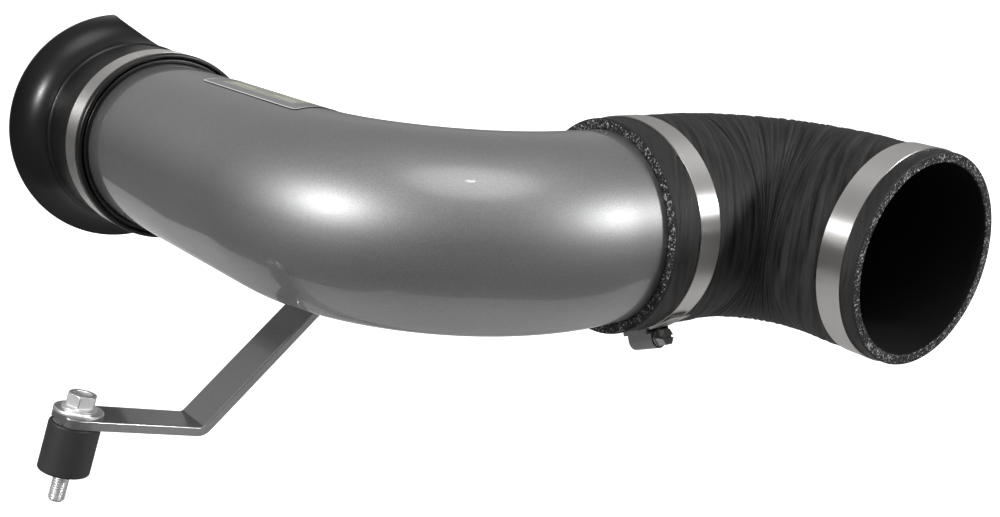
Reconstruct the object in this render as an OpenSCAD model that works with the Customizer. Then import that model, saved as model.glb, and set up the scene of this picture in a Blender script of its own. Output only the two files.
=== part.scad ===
// Cold air intake pipe: a bent aluminium tube with a rubber bell adapter at its inlet,
// a reinforced rubber elbow at its outlet, three worm drive clamps, and a welded strap
// that carries a rubber isolator. The pipe lies flat in the XY plane, with air moving
// along +X from the adapter. The origin is the isolator's seat, on its stud's axis.

/* [Tube] */
// Outside diameter of the tube
tube_d = 101.6; // [95:0.1:110]
// Wall of the tube
tube_wall = 1.65; // [1.2:0.05:3]
// Straight run of the tube from the adapter's lip to its bend
inlet_run = 150; // [120:1:200]
// Radius of the tube's bend on its centreline
tube_bend_r = 101.6; // [90:0.1:160]
// Angle of the tube's bend
tube_bend = 90; // [60:1:100]
// Straight run of the tube from its bend to the elbow's lip
outlet_run = 15.5; // [8:0.5:60]
// How much the tube's radius draws in through its bend
bend_draw = 0.05; // [0.02:0.01:0.1]

/* [Elbow hose] */
// Wall of the elbow, rubber and fabric plies together
hose_wall = 5.4; // [4:0.1:8]
// How far the tube reaches into the elbow
hose_overlap = 42; // [36:1:50]
// Straight run of the elbow from its lip to its bend
hose_run_in = 62.4; // [55:0.1:90]
// Radius of the elbow's inner throat, from the bend's centre to the crest of a ridge
hose_throat_r = 5.1; // [2:0.1:40]
// Angle of the elbow's bend
hose_bend = 94; // [60:1:100]
// Straight run of the elbow from its bend to its mouth
hose_run_out = 52.2; // [40:0.1:90]
// How far the wrapped bend stands proud of the elbow's smooth ends
wrap_rise = 0.3; // [0.1:0.1:0.6]
// Number of wrap ridges around the bend
ridge_count = 14; // [6:1:20]
// Width of one wrap ridge, as an angle of the bend
ridge_angle = 2.4; // [1:0.1:3]
// Height of a wrap ridge
ridge_rise = 0.5; // [0.2:0.1:0.8]

/* [Bell adapter] */
// How far the tube reaches into the adapter
adapter_overlap = 38; // [30:1:44]
// Wall of the cuff that grips the tube
cuff_wall = 5.3; // [4:0.1:7]
// Length of the cuff from its lip to the bell
cuff_len = 50; // [46:1:80]
// Wall of the bell
bell_wall = 3.3; // [2.5:0.1:4]
// Radius of the bell's curve, seen from outside
bell_curve_r = 20.3; // [14:0.1:26]
// Angle that the bell's curve turns through
bell_curve = 79; // [50:1:85]
// Direction of the trimmed flat around the bell, from +Y towards +Z
bell_flat_turn = 53; // [0:1:90]
// Width of the lip ring ahead of the clamp
lip_w = 3.5; // [2:0.5:14]
// Height of the lip ring above the cuff
lip_rise = 0.8; // [0.4:0.1:2]
// Depth of the groove in the lip's face
lip_groove = 4; // [2:0.5:6]
// Width of the ring where the cuff meets the bell
ridge_ring_w = 2.4; // [1.5:0.1:4]

/* [Clamps] */
// Width of the clamp bands
band_w = 14.3; // [12.7:0.1:16]
// Thickness of the clamp bands
band_t = 0.7; // [0.5:0.05:1]
// Distance from the elbow's lip to the inner clamp
inner_clamp_at = 17.5; // [6:0.5:20]
// Distance from the elbow's mouth to the outer clamp
outer_clamp_at = 8; // [4:0.5:16]
// Distance from the adapter's lip ring to its clamp
adapter_clamp_at = 1.5; // [1.5:0.5:10]
// Turn of the inner clamp's screw around the elbow
inner_clamp_turn = 22; // [-180:1:180]
// Turn of the outer clamp's screw around the elbow
outer_clamp_turn = 88; // [-180:1:180]
// Turn of the adapter clamp's screw around the cuff
adapter_clamp_turn = 80; // [-180:1:180]
// Length of a clamp's screw housing
housing_len = 17; // [14:0.5:22]
// Sheet thickness of a screw housing
housing_wall = 1.1; // [0.8:0.1:1.6]
// Outside diameter of the worm screw
worm_d = 8.4; // [7:0.1:9]
// Width across the flats of a clamp screw's head
clamp_hex = 8; // [7:0.5:10]
// Length of a clamp screw's head
clamp_head_len = 5.5; // [4:0.5:8]
// Length of the band's free tail past the housing
tail_len = 13; // [6:1:24]
// How much narrower the band's overlapping end is, on each edge
tail_trim = 0.15; // [0.1:0.05:0.5]

/* [Strap bracket] */
// Width of the strap
bar_w = 25; // [20:1:32]
// Thickness of the strap
bar_t = 5; // [3:0.5:6]
// Distance from the strap's centre back to the start of the tube's bend
bar_back = 6; // [5:1:60]
// Distance from the isolator bolt to the strap's crease
foot_len = 61.5; // [50:0.5:90]
// Distance from the crease to where the strap touches the tube
leg_len = 114; // [90:1:140]
// How far the strap runs on past the touching line
leg_tail = 14; // [8:1:16]
// Angle of the strap's bend
bar_bend = 55.4; // [45:0.1:70]
// Lean of the strap's foot and the isolator
bar_lean = 15; // [0:1:25]
// Inside radius of the strap's bend
bar_fold_r = 3; // [2:0.5:8]
// How much thinner the strap is through its bend, on each face
fold_thin = 0.05; // [0.02:0.01:0.2]
// Length of the strap past the bolt's centre
bar_end = 9.5; // [8:0.5:12]
// Corner radius of the strap's end
bar_corner_r = 6; // [2:0.5:8]
// Radius of the weld bead
weld_r = 3.2; // [2.8:0.1:5]

/* [Isolator] */
// Diameter of the rubber isolator
iso_d = 25; // [25:1:32]
// Height of the isolator between its seats
iso_h = 25; // [24:1:40]
// Diameter of the isolator's end plates
plate_d = 21.6; // [20:0.1:23]
// Thickness of the isolator's end plates
plate_t = 2; // [1.5:0.5:3]
// Diameter of the stud and of the bolt
thread_d = 8; // [6:1:8]
// Length of the stud below its seat
stud_len = 15; // [10:1:30]
// Length of the relief between the stud's thread and its seat
stud_relief = 1.2; // [0.8:0.1:3]
// Depth of that relief below the thread's outside
relief_depth = 0.6; // [0.3:0.1:0.9]
// Diameter of the stud's head inside the rubber
stud_head_d = 14; // [12:1:16]
// Height of the stud's head inside the rubber
stud_head_h = 3; // [2:0.5:4]
// Diameter of the threaded insert
insert_d = 12; // [11:0.5:14]
// Depth of the threaded insert
insert_len = 11; // [8:1:12]
// Edge radius of the rubber
iso_edge_r = 1.2; // [0.5:0.1:1.5]

/* [Flange bolt and washer] */
// Width across the flats of the bolt's head
bolt_hex = 13; // [11:1:14]
// Height of the bolt's head above its flange
bolt_head_h = 6.2; // [5:0.1:8]
// Diameter of the bolt's flange
bolt_flange_d = 17; // [16:0.5:19]
// Thickness of the bolt's flange
bolt_flange_t = 1.6; // [1:0.1:2.5]
// Diameter of the dish in the bolt's head
bolt_dish_d = 9; // [6:0.5:10]
// Depth of the dish in the bolt's head
bolt_dish_h = 1.6; // [0.5:0.1:3]
// Length of the bolt's shank
bolt_len = 16; // [14:1:18]
// Diameter of the washer
washer_d = 24; // [20:1:28]
// Thickness of the washer
washer_t = 2; // [1:0.1:3]

/* [Label] */
// Distance from the adapter's lip to the label
label_at = 59.6; // [30:0.1:80]
// Length of the label along the tube
label_len = 100; // [60:1:110]
// Width of the label around the tube, as an angle
label_wrap = 45; // [20:1:60]
// Direction of the label's near edge, from +Y towards +Z
label_edge = 101; // [60:1:120]
// Thickness of the label
label_t = 0.25; // [0.2:0.05:0.5]

/* [Fits] */
// Gap that the glue fills between the label and the tube
label_fit = 0.05; // [0.02:0.01:0.1]
// Radial gap between the tube and the rubber pushed over it
slip_fit = 0.1; // [0.05:0.05:0.3]
// Radial gap between a clamp band and the rubber under it
band_fit = 0.1; // [0.05:0.05:0.3]
// Gap between a housing, its band and its screw
housing_fit = 0.2; // [0.1:0.05:0.3]
// Gap that the weld fills between the strap and the tube
weld_gap = 0.3; // [0.2:0.05:0.5]
// Radial gap around the bolt in the strap and the washer
bolt_fit = 0.3; // [0.1:0.05:0.5]
// Radial gap between a screw thread and its insert
thread_fit = 0.05; // [0.02:0.01:0.1]

/* [Hidden] */
$fn = 96;
// Overshoot of a cut past the face that it opens, and of one solid into the next
over = 1;

tube_r = tube_d / 2;
bore_r = tube_r - tube_wall;
rubber_bore_r = tube_r + slip_fit;
hose_r = rubber_bore_r + hose_wall;
cuff_r = rubber_bore_r + cuff_wall;
bell_flat_at = rubber_bore_r + bell_wall;
bell_rim_x = -cuff_len - bell_curve_r * sin(bell_curve);
bell_rim_r = cuff_r + bell_curve_r * (1 - cos(bell_curve));
hose_bend_r = hose_throat_r + hose_r + wrap_rise + ridge_rise;
ridge_pitch = hose_bend / ridge_count;

// The strap rises from its crease at this angle, and touches the tube square to it
bar_rise = bar_bend - bar_lean;
bar_x = inlet_run - bar_back;
touch = (tube_r + weld_gap) * [0, sin(bar_rise), -cos(bar_rise)];
crease = touch - leg_len * [0, cos(bar_rise), sin(bar_rise)];
bolt_top = crease - foot_len * [0, cos(bar_lean), -sin(bar_lean)];
seat = [bar_x, 0, 0] + bolt_top - (iso_h + bar_t) * [0, sin(bar_lean), cos(bar_lean)];

// Clamp band and worm screw, measured out from the band's outer face
worm_at = band_t + housing_fit + worm_d / 2;
housing_r = worm_d / 2 + housing_fit + housing_wall;
tail_turn = 14;

// Places and paths

// The pipe's own frame: the adapter's lip on the tube, with the tube running along +X
module pipe_frame() {
    translate(-seat) children();
}

// The isolator's frame: its seat at the origin, its axis up and leaning with the strap
module isolator_frame() {
    rotate([-bar_lean, 0, 0]) children();
}

module past_bend(r, angle) {
    translate([r * sin(abs(angle)), sign(angle) * r * (1 - cos(angle)), 0])
        rotate([0, 0, angle]) children();
}

// The frame at the elbow's lip, where the tube leaves the elbow
module elbow_frame() {
    translate([inlet_run, 0, 0])
        past_bend(tube_bend_r, tube_bend)
            translate([outlet_run, 0, 0]) children();
}

// The frame at the elbow's mouth, facing out of it
module mouth_frame() {
    elbow_frame()
        translate([hose_run_in, 0, 0])
            past_bend(hose_bend_r, -hose_bend)
                translate([hose_run_out, 0, 0]) children();
}

module run(from, to, r) {
    translate([from, 0, 0]) rotate([0, 90, 0]) cylinder(h = to - from, r = r);
}

// A round bend that starts at the origin heading along +X and turns towards +Y
module bend(bend_r, angle, r, first = 0) {
    translate([0, bend_r, 0]) rotate([0, 0, first - 90])
        rotate_extrude(angle = angle) translate([bend_r, 0]) circle(r = r);
}

// The tube's path as a solid rod, with its ends moved out by extra
module tube_rod(r, extra) {
    run(-adapter_overlap - extra, inlet_run + over / 2, r);
    translate([inlet_run, 0, 0]) bend(tube_bend_r, tube_bend, r - bend_draw);
    elbow_frame() run(-outlet_run - over / 2, hose_overlap + extra, r);
}

// The elbow's path as a solid rod, in the elbow's frame, with its bend's radius changed by rise
module hose_rod(r, rise, extra) {
    run(-extra, hose_run_in + over, r);
    translate([hose_run_in, 0, 0]) {
        mirror([0, 1, 0]) bend(hose_bend_r, hose_bend, r + rise);
        past_bend(hose_bend_r, -hose_bend) run(-over, hose_run_out + extra, r);
    }
}

// Tube, label, strap and weld

module intake_tube() {
    color("dimgray") pipe_frame() difference() {
        tube_rod(tube_r, 0);
        tube_rod(bore_r, over);
    }
}

// The label's section across the tube, with the tube's centre at the origin
module label_section() {
    reach = 2 * tube_r;
    far_edge = label_edge - label_wrap;
    intersection() {
        difference() {
            circle(r = tube_r + label_fit + label_t);
            circle(r = tube_r + label_fit);
        }
        polygon([[0, 0], reach * [cos(far_edge), sin(far_edge)],
            reach * [cos(label_edge), sin(label_edge)]]);
    }
}

module tube_label() {
    straight = min(label_len, inlet_run - label_at);
    bent = (label_len - straight) / tube_bend_r * 180 / PI;
    color("gainsboro") pipe_frame() {
        translate([label_at, 0, 0]) rotate([90, 0, 90]) linear_extrude(straight) label_section();
        if (bent > 0)
            translate([inlet_run, tube_bend_r, 0]) rotate([0, 0, -90])
                rotate_extrude(angle = bent)
                    translate([tube_bend_r, 0]) mirror([1, 0]) label_section();
    }
}

// The strap: foot, fold and leg, with the foot's rounded end under the washer
module bar_solid() {
    set_back = bar_fold_r * tan(bar_bend / 2);
    corner_x = bar_w / 2 - bar_corner_r;
    translate([-bar_w / 2, bar_corner_r - bar_end, iso_h])
        cube([bar_w, foot_len - set_back + bar_end - bar_corner_r + over / 2, bar_t]);
    translate([0, foot_len - set_back, iso_h + bar_t + bar_fold_r]) {
        rotate([0, 90, 0]) rotate_extrude(angle = bar_bend)
            translate([bar_fold_r + fold_thin, fold_thin - bar_w / 2])
                square([bar_t - 2 * fold_thin, bar_w - 2 * fold_thin]);
        rotate([bar_bend, 0, 0]) translate([-bar_w / 2, -over / 2, -bar_fold_r - bar_t])
            cube([bar_w, leg_len + leg_tail - set_back + over / 2, bar_t]);
    }
    translate([0, bar_corner_r - bar_end, iso_h]) {
        for (side = [-1, 1])
            translate([side * corner_x, 0, 0]) cylinder(h = bar_t, r = bar_corner_r);
        translate([-corner_x, -bar_corner_r, 0]) cube([2 * corner_x, bar_corner_r, bar_t]);
    }
}

module support_bracket() {
    color("dimgray") isolator_frame() difference() {
        bar_solid();
        translate([0, 0, iso_h - over])
            cylinder(h = bar_t + 2 * over, r = thread_d / 2 + bolt_fit);
    }
}

// The frame on the strap's upper face at the line where it touches the tube, +Y up the strap
module touch_frame() {
    translate([bar_x, 0, 0]) translate(touch) rotate([bar_rise, 0, 0]) children();
}

module bracket_weld() {
    color("dimgray") difference() {
        pipe_frame() touch_frame() {
            for (side = [-1, 1])
                translate([side * bar_w / 2, leg_tail, 0]) {
                    rotate([90, 0, 0]) cylinder(h = 2 * leg_tail, r = weld_r);
                    sphere(r = weld_r);
                }
            translate([-bar_w / 2, leg_tail, 0]) rotate([0, 90, 0])
                cylinder(h = bar_w, r = weld_r);
        }
        pipe_frame() tube_rod(tube_r, over);
        isolator_frame() bar_solid();
    }
}

// Bell adapter

// The cuff's section: distance along the tube against distance from its axis
module cuff_section() {
    lip_r = cuff_r + lip_rise;
    stop_h = rubber_bore_r - bore_r;
    difference() {
        union() {
            translate([-cuff_len, rubber_bore_r]) square([cuff_len, cuff_wall]);
            translate([-lip_w, cuff_r - over]) square([lip_w, lip_rise + over]);
            translate([-cuff_len, cuff_r - over]) square([ridge_ring_w, lip_rise + over]);
            translate([-cuff_len, bore_r]) square([cuff_len - adapter_overlap - slip_fit, stop_h + over]);
        }
        translate([-lip_groove, rubber_bore_r + cuff_wall / 2]) square([lip_groove + over, cuff_wall / 6]);
        polygon([[-lip_rise, lip_r + over], [-lip_rise, lip_r], [0, lip_r - lip_rise],
            [over, lip_r - lip_rise], [over, lip_r + over]]);
    }
}

// The bell's section: a ring's arc around the centre of its curve
module bell_section() {
    reach = 2 * (bell_curve_r + bell_wall);
    translate([-cuff_len, cuff_r + bell_curve_r]) intersection() {
        difference() {
            circle(r = bell_curve_r + bell_wall);
            circle(r = bell_curve_r);
        }
        polygon([[0, 0], [0, -reach], reach * [-sin(bell_curve), -1],
            reach * [-sin(bell_curve), -cos(bell_curve)]]);
    }
}

// The inside of the bell's outer surface, filled to the axis and reaching into the cuff
module bell_fill_section() {
    difference() {
        translate([bell_rim_x, 0]) square([-cuff_len - bell_rim_x, bell_rim_r]);
        translate([-cuff_len, cuff_r + bell_curve_r]) circle(r = bell_curve_r);
    }
    translate([-cuff_len - over, 0]) square([2 * over, cuff_r - over / 2]);
}

// Turns a section about the X axis
module turned() {
    rotate([0, 90, 0]) rotate_extrude() rotate(-90) mirror([1, 0]) children();
}

// A slab square to the flat's direction, from one distance to another and into the cuff
module flat_slab(from, to, into = 0) {
    wide = 2 * (bell_rim_r + over);
    deep = bell_wall + over - bell_rim_x - cuff_len;
    rotate([bell_flat_turn, 0, 0])
        translate([-cuff_len - deep, from, -wide / 2]) cube([deep + into, to - from, wide]);
}

module rubber_adapter() {
    color("black") pipe_frame() {
        difference() {
            turned() {
                cuff_section();
                bell_section();
            }
            flat_slab(bell_flat_at, bell_rim_r + over);
        }
        intersection() {
            turned() bell_fill_section();
            flat_slab(rubber_bore_r, bell_flat_at, over);
        }
    }
}

// Elbow hose

module hose_ridge(first) {
    mirror([0, 1, 0]) bend(hose_bend_r, ridge_angle, hose_r + wrap_rise + ridge_rise, first);
}

module elbow_hose() {
    color("darkslategray") pipe_frame() elbow_frame() difference() {
        union() {
            hose_rod(hose_r, wrap_rise, 0);
            for (i = [0 : ridge_count - 1])
                translate([hose_run_in, 0, 0])
                    hose_ridge((i + 0.5) * ridge_pitch - ridge_angle / 2);
        }
        hose_rod(rubber_bore_r, -slip_fit, over);
    }
}

// Worm drive clamps. Each is drawn around the X axis with its band centred on the origin.
// The screw housing sits at the bottom, and its screw is driven from the +Y side.

// The frame on the band's outer face under the screw, +Y along the screw, +Z out from the pipe
module screw_frame(seat_r, turn) {
    rotate([turn, 0, 0]) mirror([0, 0, 1]) translate([0, 0, seat_r + band_fit + band_t]) children();
}

module clamp_band(seat_r, turn) {
    r = seat_r + band_fit;
    slot_pitch = 3;
    tail_t = 0.8 * band_t;
    arc_w = band_w - 2 * tail_trim;
    strip_w = arc_w - 2 * tail_trim;
    color("silver") difference() {
        union() {
            rotate([0, 90, 0]) difference() {
                cylinder(h = band_w, r = r + band_t, center = true);
                cylinder(h = band_w + over, r = r, center = true);
            }
            rotate([turn - tail_turn, 0, 0]) rotate([0, 90, 0]) rotate_extrude(angle = 2 * tail_turn)
                translate([r + band_t / 2, -arc_w / 2]) square([1.5 * band_t, arc_w]);
            rotate([turn + tail_turn, 0, 0])
                translate([-strip_w / 2, -over, -r - band_t - tail_t - 0.1 * band_t])
                    cube([strip_w, tail_len + over, tail_t]);
        }
        rotate([turn + tail_turn, 0, 0])
            for (at = [slot_pitch : slot_pitch : tail_len - slot_pitch])
                translate([-band_w / 4, at, -r - 2 * band_t - over])
                    cube([band_w / 2, slot_pitch / 2.5, band_t + over]);
    }
}

module clamp_housing(seat_r, turn) {
    foot_h = band_t + housing_fit + housing_wall;
    cheek_w = band_w + 2 * (housing_fit + housing_wall);
    color("gray") screw_frame(seat_r, turn) difference() {
        translate([0, -housing_len / 2, 0]) {
            translate([-cheek_w / 2, 0, -band_t]) cube([cheek_w, housing_len, foot_h + band_t]);
            translate([-housing_r, 0, 0]) cube([2 * housing_r, housing_len, worm_at]);
            translate([0, 0, worm_at]) rotate([-90, 0, 0]) cylinder(h = housing_len, r = housing_r);
        }
        translate([-band_w / 2 - housing_fit, -housing_len / 2 - over, -band_t - over])
            cube([band_w + 2 * housing_fit, housing_len + 2 * over, 2 * band_t + housing_fit + over]);
        translate([0, housing_wall - housing_len / 2, worm_at]) rotate([-90, 0, 0])
            cylinder(h = housing_len, r = worm_d / 2 + housing_fit);
    }
}

module clamp_screw(seat_r, turn) {
    slot_w = 1.2;
    slot_h = 1.8;
    collar_h = 1;
    collar_r = worm_d / 2 + housing_wall / 2;
    hex_r = clamp_hex / 2 / cos(30);
    color("gray") screw_frame(seat_r, turn) translate([0, housing_len / 2, worm_at]) rotate([-90, 0, 0])
        difference() {
            union() {
                translate([0, 0, 2 * housing_wall - housing_len])
                    cylinder(h = housing_len - 2 * housing_wall + over, r = worm_d / 2);
                translate([0, 0, housing_fit]) cylinder(h = collar_h, r = collar_r);
                translate([0, 0, housing_fit]) cylinder(h = collar_h + clamp_head_len, r = hex_r, $fn = 6);
            }
            translate([-hex_r - over, -slot_w / 2, housing_fit + collar_h + clamp_head_len - slot_h])
                cube([2 * (hex_r + over), slot_w, slot_h + over]);
        }
}

module at_adapter_clamp() {
    pipe_frame() translate([-lip_w - adapter_clamp_at - band_w / 2, 0, 0]) children();
}

module at_inner_clamp() {
    pipe_frame() elbow_frame() translate([inner_clamp_at + band_w / 2, 0, 0]) children();
}

module at_outer_clamp() {
    pipe_frame() mouth_frame() translate([-outer_clamp_at - band_w / 2, 0, 0]) children();
}

module adapter_clamp_band() { at_adapter_clamp() clamp_band(cuff_r, adapter_clamp_turn); }
module adapter_clamp_housing() { at_adapter_clamp() clamp_housing(cuff_r, adapter_clamp_turn); }
module adapter_clamp_screw() { at_adapter_clamp() clamp_screw(cuff_r, adapter_clamp_turn); }
module inner_clamp_band() { at_inner_clamp() mirror([0, 1, 0]) clamp_band(hose_r, inner_clamp_turn); }
module inner_clamp_housing() { at_inner_clamp() mirror([0, 1, 0]) clamp_housing(hose_r, inner_clamp_turn); }
module inner_clamp_screw() { at_inner_clamp() mirror([0, 1, 0]) clamp_screw(hose_r, inner_clamp_turn); }
module outer_clamp_band() { at_outer_clamp() clamp_band(hose_r, outer_clamp_turn); }
module outer_clamp_housing() { at_outer_clamp() clamp_housing(hose_r, outer_clamp_turn); }
module outer_clamp_screw() { at_outer_clamp() clamp_screw(hose_r, outer_clamp_turn); }

// Isolator

// A cylinder standing on the plane z with rounded edges
module soft_edged_cylinder(h, r, edge) {
    rotate_extrude() {
        square([r - edge, h]);
        translate([0, edge]) square([r, h - 2 * edge]);
        for (z = [edge, h - edge])
            translate([r - edge, z]) circle(r = edge);
    }
}

module isolator_rubber() {
    color("black") isolator_frame() difference() {
        soft_edged_cylinder(iso_h, iso_d / 2, iso_edge_r);
        translate([0, 0, -over]) cylinder(h = plate_t + over, r = plate_d / 2);
        translate([0, 0, -over]) cylinder(h = plate_t + stud_head_h + over, r = stud_head_d / 2);
        translate([0, 0, iso_h - plate_t]) cylinder(h = plate_t + over, r = plate_d / 2);
        translate([0, 0, iso_h - plate_t - insert_len]) cylinder(h = insert_len + over, r = insert_d / 2);
    }
}

module isolator_top_plate() {
    color("silver") isolator_frame() difference() {
        union() {
            translate([0, 0, iso_h - plate_t]) cylinder(h = plate_t, r = plate_d / 2);
            translate([0, 0, iso_h - plate_t - insert_len]) cylinder(h = insert_len + over, r = insert_d / 2);
        }
        translate([0, 0, iso_h - plate_t - insert_len + over])
            cylinder(h = insert_len + plate_t + over, r = thread_d / 2 + thread_fit);
    }
}

module isolator_bottom_plate() {
    color("silver") isolator_frame() difference() {
        cylinder(h = plate_t, r = plate_d / 2);
        translate([0, 0, -over]) cylinder(h = plate_t + 2 * over, r = thread_d / 2 + thread_fit);
    }
}

module isolator_stud() {
    tip = thread_d / 8;
    color("silver") isolator_frame() {
        translate([0, 0, tip - stud_len]) cylinder(h = stud_len - stud_relief - tip, r = thread_d / 2);
        translate([0, 0, -stud_len]) cylinder(h = tip, r1 = thread_d / 2 - tip, r2 = thread_d / 2);
        translate([0, 0, -stud_relief - over])
            cylinder(h = stud_relief + plate_t + 2 * over, r = thread_d / 2 - relief_depth);
        translate([0, 0, plate_t]) cylinder(h = stud_head_h, r = stud_head_d / 2);
    }
}

// Bolt and washer, on the strap's upper face

module on_strap() {
    isolator_frame() translate([0, 0, iso_h + bar_t]) children();
}

module flat_washer() {
    color("silver") on_strap() difference() {
        cylinder(h = washer_t, r = washer_d / 2);
        translate([0, 0, -over]) cylinder(h = washer_t + 2 * over, r = thread_d / 2 + bolt_fit);
    }
}

module flange_bolt() {
    hex_r = bolt_hex / 2 / cos(30);
    color("silver") on_strap() translate([0, 0, washer_t]) difference() {
        union() {
            translate([0, 0, -bolt_len]) cylinder(h = bolt_len + over, r = thread_d / 2);
            cylinder(h = bolt_flange_t, r = bolt_flange_d / 2);
            intersection() {
                cylinder(h = bolt_flange_t + bolt_head_h, r = hex_r, $fn = 6);
                cylinder(h = bolt_flange_t + bolt_head_h, r1 = 2 * hex_r, r2 = 0.93 * hex_r);
            }
        }
        translate([0, 0, bolt_flange_t + bolt_head_h - bolt_dish_h])
            cylinder(h = bolt_dish_h + over, r = bolt_dish_d / 2);
    }
}

intake_tube();
tube_label();
support_bracket();
bracket_weld();
rubber_adapter();
adapter_clamp_band();
adapter_clamp_housing();
adapter_clamp_screw();
elbow_hose();
inner_clamp_band();
inner_clamp_housing();
inner_clamp_screw();
outer_clamp_band();
outer_clamp_housing();
outer_clamp_screw();
isolator_rubber();
isolator_top_plate();
isolator_bottom_plate();
isolator_stud();
flange_bolt();
flat_washer();
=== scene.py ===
import math

import bpy
import numpy as np
from mathutils import Matrix, Quaternion, Vector


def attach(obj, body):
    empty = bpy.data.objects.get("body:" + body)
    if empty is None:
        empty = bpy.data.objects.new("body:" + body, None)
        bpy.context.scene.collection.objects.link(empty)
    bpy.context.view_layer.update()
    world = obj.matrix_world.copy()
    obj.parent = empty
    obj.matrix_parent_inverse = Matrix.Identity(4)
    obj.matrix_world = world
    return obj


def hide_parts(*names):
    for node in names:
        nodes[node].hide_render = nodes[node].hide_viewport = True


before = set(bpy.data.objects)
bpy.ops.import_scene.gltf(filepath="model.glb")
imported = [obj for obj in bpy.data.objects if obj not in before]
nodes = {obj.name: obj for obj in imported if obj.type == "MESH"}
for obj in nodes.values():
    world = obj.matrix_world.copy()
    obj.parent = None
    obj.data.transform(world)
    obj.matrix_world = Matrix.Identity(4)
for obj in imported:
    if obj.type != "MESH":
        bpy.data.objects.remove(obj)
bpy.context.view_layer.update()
MM = 0.001

# Driving sizes of the CAD source, in millimetres and degrees
TUBE_R = 50.8
TUBE_WALL = 1.65
INLET_RUN = 150.0
TUBE_BEND_R = 101.6
TUBE_BEND = 90.0
OUTLET_RUN = 15.5
SLIP_FIT = 0.1

HOSE_WALL = 5.4
HOSE_OVERLAP = 42.0
HOSE_RUN_IN = 62.4
HOSE_THROAT_R = 5.1
HOSE_BEND = 94.0
HOSE_RUN_OUT = 52.2
WRAP_RISE = 0.3
RIDGE_RISE = 0.5

ADAPTER_OVERLAP = 38.0
CUFF_WALL = 5.3
CUFF_LEN = 50.0
BELL_WALL = 3.3
BELL_CURVE_R = 20.3
BELL_FLAT_TURN = 53.0

BAR_W = 25.0
BAR_T = 5.0
BAR_BACK = 6.0
FOOT_LEN = 61.5
LEG_LEN = 114.0
LEG_TAIL = 14.0
BAR_BEND = 55.4
BAR_LEAN = 15.0
BAR_FOLD_R = 3.0
BAR_END = 9.5
BAR_CORNER_R = 6.0
WELD_GAP = 0.3

ISO_H = 25.0
PLATE_T = 2.0
THREAD_R = 4.0
STUD_LEN = 15.0
STUD_RELIEF = 1.2
STUD_HEAD_R = 7.0
STUD_HEAD_H = 3.0
BOLT_HEX = 13.0
BOLT_HEAD_H = 6.2
BOLT_FLANGE_T = 1.6
BOLT_LEN = 16.0
BOLT_FIT = 0.3
WASHER_R = 12.0
WASHER_T = 2.0

LABEL_AT = 59.6
LABEL_LEN = 100.0
LABEL_WRAP = 45.0
LABEL_EDGE = 101.0
LABEL_FIT = 0.05
LABEL_T = 0.25

# Sizes that follow from them. The label's face lies 0.03 inside the CAD label's.
BORE_R = TUBE_R - TUBE_WALL
RUBBER_BORE_R = TUBE_R + SLIP_FIT
HOSE_R = RUBBER_BORE_R + HOSE_WALL
HOSE_BEND_R = HOSE_THROAT_R + HOSE_R + WRAP_RISE + RIDGE_RISE
CUFF_R = RUBBER_BORE_R + CUFF_WALL
BELL_FLAT_AT = RUBBER_BORE_R + BELL_WALL
LABEL_R = TUBE_R + LABEL_FIT + LABEL_T - 0.03
LABEL_WIDTH = LABEL_R * math.radians(LABEL_WRAP)
TUBE_BEND_LEN = TUBE_BEND_R * math.radians(TUBE_BEND)
HOSE_BEND_LEN = HOSE_BEND_R * math.radians(HOSE_BEND)

# Sizes that only the scene has
LABEL_CORNER_R = 3.0
WRAP_FROM = HOSE_RUN_IN - 20
WRAP_TO = HOSE_RUN_IN + HOSE_BEND_LEN + 12
MARK_COUNT = 40
MARK_DEPTH = 0.55
MARK_STEP = 0.2

# Places are in millimetres from the adapter's lip, until a mesh is made
# A path is its start, its heading in degrees, and its straight runs and bends
TUBE_PATH = ((-ADAPTER_OVERLAP, 0, 0), 0.0,
             [(INLET_RUN + ADAPTER_OVERLAP,), (TUBE_BEND_R, TUBE_BEND), (OUTLET_RUN + HOSE_OVERLAP,)])
HOSE_LIP = np.array([INLET_RUN + TUBE_BEND_R, TUBE_BEND_R + OUTLET_RUN, 0.0])
HOSE_PATH = (HOSE_LIP, 90.0, [(HOSE_RUN_IN,), (HOSE_BEND_R, -HOSE_BEND), (HOSE_RUN_OUT,)])


def strap_direction(angle):
    """Unit vector in the plane of the strap's side, angle in degrees from +Y towards +Z."""
    return np.array([0.0, math.cos(math.radians(angle)), math.sin(math.radians(angle))])


# The isolator's seat, reached along the strap. The frame's origin lies there.
bar_rise = BAR_BEND - BAR_LEAN
strap_touch = (TUBE_R + WELD_GAP) * strap_direction(bar_rise - 90)
strap_crease = strap_touch - LEG_LEN * strap_direction(bar_rise)
strap_top = strap_crease - FOOT_LEN * strap_direction(-BAR_LEAN)
SEAT = strap_top - (ISO_H + BAR_T) * strap_direction(90 - BAR_LEAN) + np.array([INLET_RUN - BAR_BACK, 0, 0])


# Shader nodes

def new_material(name):
    material = bpy.data.materials.new(name)
    material.use_nodes = True
    tree = material.node_tree
    shader = next(node for node in tree.nodes if node.type == "BSDF_PRINCIPLED")
    return material, tree, shader


def add_node(tree, kind, **values):
    node = tree.nodes.new(kind)
    for key, value in values.items():
        setattr(node, key, value)
    return node


def set_inputs(node, values):
    for name, value in values.items():
        node.inputs[name].default_value = value


def coordinates(tree):
    return add_node(tree, "ShaderNodeTexCoord").outputs["Object"]


def noise(tree, where, scale, detail=2.0, rough=0.5):
    node = add_node(tree, "ShaderNodeTexNoise")
    tree.links.new(where, node.inputs["Vector"])
    set_inputs(node, {"Scale": scale, "Detail": detail, "Roughness": rough})
    return node.outputs["Fac"]


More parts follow.
